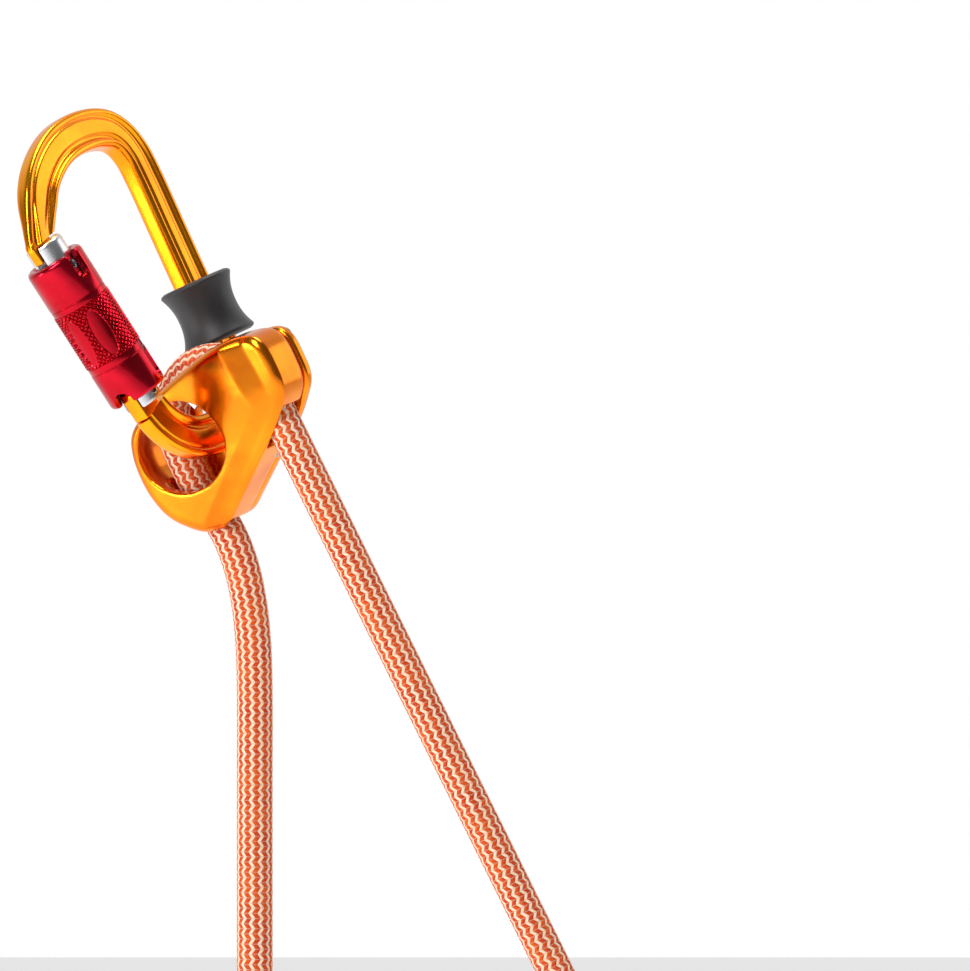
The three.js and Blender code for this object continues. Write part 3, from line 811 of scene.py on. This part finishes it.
def flange_section(along):
    """Half of the I section at this share of the body.

    The points are [outward, sideways], from the outer to the inner face.
    """
    spine = float(smoothstep(along, 0.24, 0.42) * (1 - smoothstep(along, 0.74, 0.86)))
    nose = 1 - float(smoothstep(along, 0.015, 0.1))
    foot = float(smoothstep(along, 0.93, 1.0))
    h = (BASKET_WIDTH + (SPINE_WIDTH - BASKET_WIDTH) * spine) * (1 - 0.25 * nose) / 2
    outer = OUTER_HALF + 0.25 * spine - (OUTER_HALF - 1.3) * nose
    inner = INNER_HALF
    web = 2.35 + 0.15 * spine + 0.3 * nose
    rim = 1.9
    groove = 0.7 + 2.0 * spine
    deep = (0.55 + 0.35 * spine) * (1 - nose) + 0.02
    channel = 2.1 - 1.0 * spine
    channel_deep = (0.75 + 0.15 * spine) * (1 - nose) * (1 - foot)
    lip = 2.0
    low = min(outer, web) - deep
    a = h - rim
    b = a - groove
    d = -h + lip
    c = d + channel
    edge = inner - 0.35 * nose
    points = [
        (h, 0), (h, outer * 0.5), (h - 0.2, outer * 0.8), (h - 0.7, outer * 0.97), (a + 0.5, outer),
        (a + 0.1, outer - 0.08), (a - 0.2 * groove, low + 0.08), (a - 0.5 * groove, low),
        (b + 0.15 * groove, low + 0.1), (b, web - 0.08), (b - 0.4, web),
        (c + 0.5, web), (c + 0.1, web - 0.06),
        (c - 0.3 * channel, web - channel_deep * 0.85), (d + 0.3 * channel, web - channel_deep),
        (d, edge - 0.2), (d - 0.4, edge), (-h + 0.9, edge * 0.96), (-h + 0.3, edge * 0.78),
        (-h + 0.05, edge * 0.5), (-h, 0),
    ]
    return np.array(points)


def ring_points(half, count):
    """The whole section, evenly walked from the middle of its outer face."""
    whole = np.vstack([half, half[::-1][1:-1] * [1, -1], half[:1]])
    walk = evenly(whole, count + 1)[:-1]
    for _ in range(2):
        walk = (np.roll(walk, 1, 0) + 2 * walk + np.roll(walk, -1, 0)) / 4
    return walk


def cut_by_plane(obj, point, normal, near):
    """Cuts away what is behind the plane, among the vertices that near() picks, and closes the cut."""
    mesh = bmesh.new()
    mesh.from_mesh(obj.data)
    picked = {v for v in mesh.verts if near(v.co)}
    faces = [f for f in mesh.faces if all(v in picked for v in f.verts)]
    edges = {e for f in faces for e in f.edges}
    verts = {v for f in faces for v in f.verts}
    result = bmesh.ops.bisect_plane(mesh, geom=list(verts) + list(edges) + faces, dist=1e-5,
                                    plane_co=point, plane_no=normal, clear_inner=True)
    rim = [e for e in result["geom_cut"] if isinstance(e, bmesh.types.BMEdge) and e.is_boundary]
    bmesh.ops.edgeloop_fill(mesh, edges=rim)
    bmesh.ops.recalc_face_normals(mesh, faces=mesh.faces)
    mesh.to_mesh(obj.data)
    mesh.free()


def gate_point(x, s):
    c, n = math.cos(GATE_LEAN), math.sin(GATE_LEAN)
    return np.array([HINGE[0] + x * c - s * n, HINGE[1] + x * n + s * c, 0])


def rounded_prism(name, points, half, width):
    obj = prism(name, points, -half, half)
    bevel(obj, width, 3, 50)
    return obj


def merge(name, parts):
    """One object from several, whose meshes are already in the same frame."""
    mesh = bmesh.new()
    for part in parts:
        mesh.from_mesh(part.data)
    obj = parts[0]
    mesh.to_mesh(obj.data)
    mesh.free()
    for part in parts[1:]:
        drop(part)
    obj.name = name
    return obj


def build_frame():
    stations, around = 520, 132
    line = body_line(stations)
    ahead = directions(line)
    out = np.stack([-ahead[:, 1], ahead[:, 0]], 1)
    verts = []
    for i in range(stations):
        ring = ring_points(flange_section(i / (stations - 1)), around)
        flat = line[i] + out[i] * ring[:, :1]
        verts.append(np.column_stack([flat, ring[:, 1]]))
    obj = make_object("carabiner_body", np.vstack(verts), ring_faces(stations, around))
    fix_normals(obj)
    up = (-math.sin(GATE_LEAN), math.cos(GATE_LEAN), 0)
    down = (math.sin(GATE_LEAN), -math.cos(GATE_LEAN), 0)
    cut_by_plane(obj, gate_point(0, NOSE_S - 0.4), up, lambda p: p.x < -24 and p.y > -30)
    cut_by_plane(obj, gate_point(0, -GATE_FOOT - 0.8), down, lambda p: p.x < -15 and p.y < -58)
    smooth_by_angle(obj, 40)
    lean = Matrix.Translation((HINGE[0], HINGE[1], 0)) @ Matrix.Rotation(GATE_LEAN, 4, "Z")
    hook = [(-5.4, NOSE_S + 1), (-6, NOSE_S), (-6, NOSE_LOW), (-3, NOSE_LOW + 0.4), (-1.4, NOSE_S - 3),
            (1.6, NOSE_S - 2.2), (2.4, NOSE_S - 1), (2, NOSE_S + 1)]
    nose = rounded_prism("nose", hook, NOSE_TONGUE / 2, 0.3)
    eye_shape = arc(-0.6, HINGE_S, 3.6, 3.6, -20, 90, 14) + arc(-1.6, HINGE_S + 0.4, 3.4, 3.3, 90, 180, 14)
    eye_shape += [(-5, HINGE_S - 6), (2.9, HINGE_S - 6)]
    eye = rounded_prism("eye", eye_shape, HINGE_TONGUE / 2, 0.5)
    cut_out(eye, lathe_rod("hole", PIN_R + 0.15, -4, 4, (0, HINGE_S)))
    for part in (nose, eye):
        smooth_by_angle(part, 35)
        part.data.transform(lean)
    merge("carabiner_body", [obj, nose, eye])
    finish_piece(obj, CARABINER, GOLD, "carabiner", ["carabiner_frame"])


def build_gate():
    foot, top, r = -GATE_FOOT, GATE_LENGTH, BARREL_R
    obj = solid_lathe("gate_barrel_turned", [
        (0, foot), (r - 0.9, foot), (r - 0.35, foot + 0.2), (r - 0.08, foot + 0.55), (r, foot + 1.0),
        (r, 0), (r, 20), (r, top - 1.1), (r - 0.1, top - 0.6), (r - 0.4, top - 0.2), (r - 0.9, top),
        (0, top),
    ])
    cut_out(obj, block("slot", (-9, -12, -HINGE_SLOT / 2), (9, 3, HINGE_SLOT / 2)))
    cut_out(obj, block("slot", (-9, TRACK_S - 3, -NOSE_SLOT / 2), (9, top + 4, NOSE_SLOT / 2)))
    for s in (HINGE_S, TRACK_S):
        cut_out(obj, lathe_rod("hole", PIN_R + 0.06, -9, 9, (0, s)))
    bevel(obj, 0.22, 3, 40)
    smooth_by_angle(obj, 30)
    finish_piece(obj, GATE, SILVER, "gate", ["gate_barrel"])
    for name, s, body in (("hinge_pin", HINGE_S, "carabiner"), ("track_pin", TRACK_S, "gate")):
        pin = lathe_rod(name + "_peened", PIN_R, -PIN_HALF, PIN_HALF, (0, s), chamfer=0.25)
        smooth_by_angle(pin, 40)
        finish_piece(pin, GATE, STEEL, body, [name])


WINDOWS = [135, 185, 315, 5]
NOTCH_TURN = 100.5
RECESS_TURN = 62
FOOT_TURN = 176
KNURL_DEPTH = 0.5
KNURL_FLOOR = 0.42
BAND_BORE_R = 6.9
COLLAR_SEGMENTS = 160
WINDOW_HALF = {"turn": 17.5, "height": 6.9}


def knurl(turn, s):
    """Height of the knurled band's surface over its grooves, 0 to 1, with the smooth windows left low."""
    count, pitch = 34, 1.5
    first = turn * count + s / pitch
    second = turn * count - s / pitch
    away = [np.abs(x - np.floor(x) - 0.5) * 2 for x in (first, second)]
    pyramid = np.minimum(1 - away[0], 1 - away[1])
    height = np.clip(pyramid * 2.1, 0, 1)
    middle = (BAND_LOW + BAND_HIGH) / 2 - 0.5
    for window in WINDOWS:
        across = (turn * 360 - window + 180) % 360 - 180
        reach = np.sqrt((across / WINDOW_HALF["turn"]) ** 2 + ((s - middle) / WINDOW_HALF["height"]) ** 2)
        height = height * smoothstep(reach, 0.96, 1.04)
    return height


def knurled_band():
    around, rows = 720, 150
    heights = np.linspace(BAND_LOW, BAND_HIGH, rows)
    turns = np.arange(around) / around
    grid = knurl(turns[None, :], heights[:, None])
    edge = smoothstep(np.minimum(heights - BAND_LOW, BAND_HIGH - heights), 0.0, 0.25)[:, None]
    reach = SLEEVE_R - KNURL_FLOOR + KNURL_DEPTH * grid * edge
    angle = 2 * math.pi * turns
    verts = [np.column_stack([r * np.cos(angle), np.full(around, s), r * np.sin(angle)])
             for s, r in zip(heights, reach)]
    for s in (BAND_HIGH, BAND_LOW):
        verts.append(np.column_stack([BAND_BORE_R * np.cos(angle), np.full(around, s),
                                      BAND_BORE_R * np.sin(angle)]))
    faces = ring_faces(rows + 2, around, cap=False)
    last = (rows + 1) * around
    for j in range(around):
        k = (j + 1) % around
        faces.append((j, k, last + k, last + j))
    obj = make_object("band", np.vstack(verts), faces)
    fix_normals(obj)
    smooth_by_angle(obj, 32)
    return obj


def oblong(name, half_width, low, high, near, far):
    points = arc(0, low + half_width, half_width, half_width, 180, 360, 24)
    points += arc(0, high - half_width, half_width, half_width, 0, 180, 24)
    return prism(name, points, near, far)


def turned_cut(obj, tool, degrees, dark=None):
    """Takes the tool, built along z, out of obj at that angle round the sleeve."""
    # Painted shade: a dark material given here goes onto the faces that the tool cuts.
    if dark:
        tool.data.materials.append(dark)
    tool.data.transform(Matrix.Rotation(math.radians(90 - degrees), 4, "Y"))
    item = modifier(obj, "BOOLEAN", operation="DIFFERENCE", object=tool, solver="EXACT")
    item.material_mode = "TRANSFER"
    settle(obj)
    drop(tool)


def build_sleeve():
    r, bore = SLEEVE_R, SLEEVE_BORE_R
    upper = lathe("upper", [
        (bore, BAND_HIGH - 0.2), (r - 0.5, BAND_HIGH - 0.2), (r - 0.12, BAND_HIGH + 0.05), (r - 0.1, 27.3),
        (r - 0.28, 27.4), (r - 0.28, 27.6), (r, 27.75), (r, SLEEVE_TOP - 1.3), (r - 0.12, SLEEVE_TOP - 0.75),
        (r - 0.42, SLEEVE_TOP - 0.3), (r - 0.95, SLEEVE_TOP), (bore + 0.7, SLEEVE_TOP),
        (bore, SLEEVE_TOP - 0.5),
    ], COLLAR_SEGMENTS)
    lower = lathe("lower", [
        (bore, SLEEVE_BOTTOM + 0.3), (bore + 0.4, SLEEVE_BOTTOM), (r - 0.8, SLEEVE_BOTTOM),
        (r - 0.35, SLEEVE_BOTTOM + 0.22), (r - 0.1, SLEEVE_BOTTOM + 0.6), (r, SLEEVE_BOTTOM + 1.1),
        (r, 7.5), (r - 0.24, 7.62), (r - 0.24, 7.8), (r - 0.1, 7.9), (r - 0.12, BAND_LOW - 0.05),
        (r - 0.5, BAND_LOW + 0.2), (bore, BAND_LOW + 0.2),
    ], COLLAR_SEGMENTS)
    upper.data.materials.append(RED)
    lower.data.materials.append(RED)
    # Painted shade: the cut faces of the notch and the recess are coloured dark red.
    turned_cut(upper, oblong("notch", NOTCH_R + 0.3, NOTCH_BOTTOM, 60, 3, 14), NOTCH_TURN, CUT_SHADE_RED)
    turned_cut(lower, oblong("recess", 2.3, -1.6, 7.0, 6.3, 14), RECESS_TURN, CUT_SHADE_RED)
    turned_cut(lower, oblong("foot", 2.8, -40, 0.8, 3, 14), FOOT_TURN)
    for part in (upper, lower):
        bevel(part, 0.16, 2, 40)
        smooth_by_angle(part, 30)
    band = knurled_band()
    band.data.materials.append(RED)
    shades = [RED, CUT_SHADE_RED]
    for part in (upper, lower, band):
        order = [shades.index(m) if m in shades else 0 for m in part.data.materials] or [0]
        index = np.zeros(len(part.data.polygons), int)
        part.data.polygons.foreach_get("material_index", index)
        index = np.array(order)[np.clip(index, 0, len(order) - 1)]
        part.data.polygons.foreach_set("material_index", index)
    obj = merge("lock_sleeve_knurled", [upper, lower, band])
    obj.data.materials.clear()
    for material in shades:
        obj.data.materials.append(material)
    place_local(obj, GATE)
    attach(obj, "sleeve")
    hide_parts("lock_sleeve")


def build_keeper():
    top = KEEPER_BOTTOM + KEEPER_LENGTH
    middle = (KEEPER_BOTTOM + top) / 2
    profile = []
    for share in np.linspace(-1, 1, 49):
        y = middle + share * KEEPER_LENGTH / 2
        round_off = 1.3 * (1 - math.sqrt(max(0, 1 - max(0, (abs(share) - 0.85) / 0.15) ** 2)))
        flare = min(1, abs(share) / 0.88) ** 2.2
        profile.append((KEEPER_WAIST_R + (KEEPER_R - KEEPER_WAIST_R) * flare - round_off, y))
    profile += [(5.5, top - 0.4), (5.1, middle), (5.5, KEEPER_BOTTOM + 0.4)]
    obj = lathe("spine_keeper_moulded", profile, 128)
    smooth_by_angle(obj, 50)
    verts = np.array([v.co[:] for v in obj.data.vertices])
    inside = np.hypot(verts[:, 0], verts[:, 2]) < 5.6
    angle = np.arctan2(verts[:, 2], verts[:, 0])
    hx, hz = SPINE_WIDTH / 2 + 0.12, INNER_HALF + 0.12
    box = 1 / np.maximum(np.abs(np.cos(angle)) / hx, np.abs(np.sin(angle)) / hz)
    verts[inside, 0] = (box * np.cos(angle))[inside] + SPINE_X - KEEPER_X
    verts[inside, 2] = (box * np.sin(angle))[inside]
    obj.data.vertices.foreach_set("co", verts.reshape(-1))
    obj.data.transform(Matrix.Translation((KEEPER_X, 0, 0)))
    finish_piece(obj, CARABINER, RUBBER, "keeper", ["spine_keeper"])


# ---------- adjuster ----------

RIVETS = {
    "rivet_hood": (26.6, -65.2),
    "rivet_web": (9.6, -92.2),
    "rivet_saddle_top": (WRAP[0] + 5.04, WRAP[1] + 9.1),
    "rivet_saddle_side": (WRAP[0] + 10.1, WRAP[1] + 2.4),
}


def channel_tools():
    half = prism("channel", arc(WRAP[0], WRAP[1], CHANNEL_R, CHANNEL_R, 0, 180, 64), -12, PLATE_INNER)
    left, right = WRAP[0] - WRAP_R, WRAP[0] + WRAP_R
    width = ROPE_R + 0.4
    return [
        half,
        block("load_leg", (right - width, -125, -12), (right + width, WRAP[1] + 0.5, PLATE_INNER)),
        block("tail_leg", (left - width, -125, -12), (left + width + 4, WRAP[1] + 0.5, PLATE_INNER)),
        block("open_top", (-6, WRAP[1] - 0.5, -12), (17, -50, PLATE_INNER)),
    ]


VOXEL_SIZE = 0.42
FACET = {"start": (31.5, -77.5), "end": (-7.5, -105.5), "width": 4.6, "most": 2.8, "slope": 0.8}
SHOULDER = {"x": 19.5, "y": -72, "lean": 0.12, "most": 6, "slope": 0.4}
HOOD_RISE = 0.9


def build_adjuster_body():
    """The forging: cut, melted into one skin, then its front lowered along the facet and the shoulder."""
    bulk = prism("adjuster_forging", rounded(PLATE_CORNERS, 4.5, 10), BODY_BACK, PLATE_FRONT)
    bevel(bulk, 2.3, 6, 50)
    ring = arc(HOLE["x"], HOLE["y"], HOLE["rx"], HOLE["ry"], 0, 356, 89)
    cut_out(bulk, prism("hole", ring, -THROUGH, THROUGH))
    for tool in channel_tools():
        cut_out(bulk, tool)
    modifier(bulk, "REMESH", mode="VOXEL", voxel_size=VOXEL_SIZE, adaptivity=0.0, use_smooth_shade=True)
    settle(bulk)
    modifier(bulk, "SMOOTH", factor=0.5, iterations=4)
    settle(bulk)
    verts = np.empty(len(bulk.data.vertices) * 3)
    bulk.data.vertices.foreach_get("co", verts)
    verts = verts.reshape(-1, 3)
    front = smoothstep(verts[:, 2], 3.0, 8.2)
    low_start, low_end = np.array(FACET["start"]), np.array(FACET["end"])
    way = (low_end - low_start) / np.linalg.norm(low_end - low_start)
    inward = (verts[:, :2] - low_start) @ np.array([way[1], -way[0]])
    facet = np.clip(FACET["width"] - inward, 0, FACET["most"]) * FACET["slope"]
    slant = verts[:, 0] - SHOULDER["x"] + SHOULDER["lean"] * (verts[:, 1] - SHOULDER["y"])
    shoulder = np.clip(slant, 0, SHOULDER["most"]) * SHOULDER["slope"]
    hood = HOOD_RISE * smoothstep(verts[:, 1], -86, -74) * smoothstep(verts[:, 0], -6, 10)
    verts[:, 2] += (hood - np.maximum(facet, shoulder)) * front
    bulk.data.vertices.foreach_set("co", verts.reshape(-1))
    bulk.data.update()
    modifier(bulk, "SMOOTH", factor=0.5, iterations=4)
    settle(bulk)
    bulk.data.polygons.foreach_set("use_smooth", [True] * len(bulk.data.polygons))
    finish_piece(bulk, ADJUSTER, ORANGE, "adjuster", ["adjuster_body"])


REAR_CORNERS = [
    (-6, -67), (12, -63.4), (20, -61), (28, -62), (30.6, -66.4), (30.6, -78), (22.4, -85.6), (-7, -104),
    (-13, -101.6), (-14, -88), (-13, -72.6),
]
REAR_BACK = -8.5
REAR_FRONT = -5.5
REAR_HOLE = {"x": 0, "y": -78, "rx": 9.6, "ry": 10.4}


def build_rear_plate():
    obj = prism("adjuster_rear_pressing", rounded(REAR_CORNERS, 4, 8), REAR_BACK, REAR_FRONT)
    bevel(obj, 0.9, 4, 50)
    ring = arc(REAR_HOLE["x"], REAR_HOLE["y"], REAR_HOLE["rx"], REAR_HOLE["ry"], 0, 355, 71)
    cut_out(obj, prism("hole", ring, -THROUGH, THROUGH))
    bevel(obj, 0.35, 3, 50)
    smooth_by_angle(obj, 30)
    finish_piece(obj, ADJUSTER, ORANGE, "adjuster", ["adjuster_rear_plate"])


SADDLE = {"wall": 4.4, "start": 2, "end": 118}


def build_saddle():
    outer = WRAP_R - ROPE_R - GAP
    inner = outer - SADDLE["wall"]
    start, end = SADDLE["start"], SADDLE["end"]
    ring = arc(WRAP[0], WRAP[1], outer, outer, start, end, 48)
    ring += arc(WRAP[0], WRAP[1], inner, inner, end, start, 48)
    obj = prism("rope_saddle_turned", ring, BODY_BACK, PLATE_INNER - 0.4)
    bevel(obj, 0.6, 4, 60)
    smooth_by_angle(obj, 30)
    finish_piece(obj, ADJUSTER, SILVER, "adjuster", ["rope_saddle"])


RIVET = {"head_r": 2.3, "head_height": 0.85, "shank_r": 1.1, "shank_end": -14.2, "seat": -8.8}


def build_rivets():
    """Each rivet stands on the rear plate, its head outwards and its shank towards the front."""
    shank, end = RIVET["shank_r"], RIVET["shank_end"]
    for name, (x, y) in RIVETS.items():
        profile = [(0, end), (shank, end), (shank, -0.1), (2.2, -0.1)]
        for share in np.linspace(0, 1, 9):
            a = share * math.pi / 2
            profile.append((RIVET["head_r"] * math.cos(a) ** 0.6, 0.05 + RIVET["head_height"] * math.sin(a)))
        obj = solid_lathe(name + "_headed", profile, 48)
        obj.data.transform(Matrix.Rotation(math.radians(-90), 4, "X"))
        obj.data.transform(Matrix.Translation((x, y, RIVET["seat"])))
        smooth_by_angle(obj, 35)
        finish_piece(obj, ADJUSTER, STEEL, "adjuster", [name])


def build_bight():
    right, left = WRAP[0] + WRAP_R, WRAP[0] - WRAP_R
    points = [(right, -84)] + arc(WRAP[0], WRAP[1], WRAP_R, WRAP_R, 0, 180, 24)
    points += [(left, -86), (left + 0.4, -91.5), (left + 1.5, -96)]
    line = curve_of([(x, y, 0) for x, y in points])
    obj, _ = rope_mesh("rope_bight_sheath", line, 0.32, 96)
    finish_piece(obj, ADJUSTER, ROPE, "adjuster", ["rope_bight"])


build_frame()
build_gate()
build_sleeve()
build_keeper()
build_adjuster_body()
build_rear_plate()
build_saddle()
build_rivets()
build_bight()


# ---------- studio ----------

def light(name, place, target, size, power):
    data = bpy.data.lights.new(name, "AREA")
    data.shape = "RECTANGLE"
    data.size, data.size_y = size
    data.energy = power
    obj = bpy.data.objects.new(name, data)
    obj.location = place
    obj.rotation_euler = (Vector(target) - Vector(place)).to_track_quat("-Z", "Y").to_euler()
    bpy.context.scene.collection.objects.link(obj)


def build_studio():
    """A surround that is bright behind the object and dim before it, so that the metal carries dark bands.

    The camera itself sees plain white, brighter than the light the surround gives.
    """
    world = bpy.data.worlds.new("studio")
    world.use_nodes = True
    tree = world.node_tree
    back = tree.nodes["Background"]
    split = tree.nodes.new("ShaderNodeSeparateXYZ")
    tree.links.new(tree.nodes.new("ShaderNodeTexCoord").outputs["Generated"], split.inputs[0])
    span = tree.nodes.new("ShaderNodeMapRange")
    for name, value in (("From Min", -0.1), ("From Max", 0.4), ("To Min", 0.16), ("To Max", 0.8)):
        span.inputs[name].default_value = value
    tree.links.new(split.outputs["Y"], span.inputs["Value"])
    seen = tree.nodes.new("ShaderNodeMath")
    seen.operation = "MAXIMUM"
    tree.links.new(span.outputs["Result"], seen.inputs[0])
    tree.links.new(tree.nodes.new("ShaderNodeLightPath").outputs["Is Camera Ray"], seen.inputs[1])
    tree.links.new(seen.outputs[0], back.inputs["Strength"])
    back.inputs["Color"].default_value = (1, 1, 1, 1)
    bpy.context.scene.world = world
    bpy.context.scene.view_settings.view_transform = "Standard"
    centre = (0.06, 0, -0.1)
    light("key", (-0.7, -1.0, 0.7), centre, (0.36, 0.9), 16)
    light("fill", (1.15, 0.3, 0.35), centre, (0.6, 0.8), 1.8)
    light("top", (0.15, 0.05, 1.2), centre, (0.7, 0.5), 9)
    light("low_left", (-1.15, -0.35, -0.4), centre, (0.28, 0.8), 7.5)


def build_floor():
    size, level = 8.0, -0.46
    corners = [(-size, -size, level), (size, -size, level), (size, size, level), (-size, size, level)]
    floor = make_object("floor", corners, [(0, 1, 2, 3)])
    s = Shader("floor")
    s.set(Base_Color=(0.86, 0.86, 0.86, 1), Roughness=0.9, Emission_Color=(1, 1, 1, 1),
          Emission_Strength=0.4)
    floor.data.materials.append(s.material)


build_studio()
build_floor()
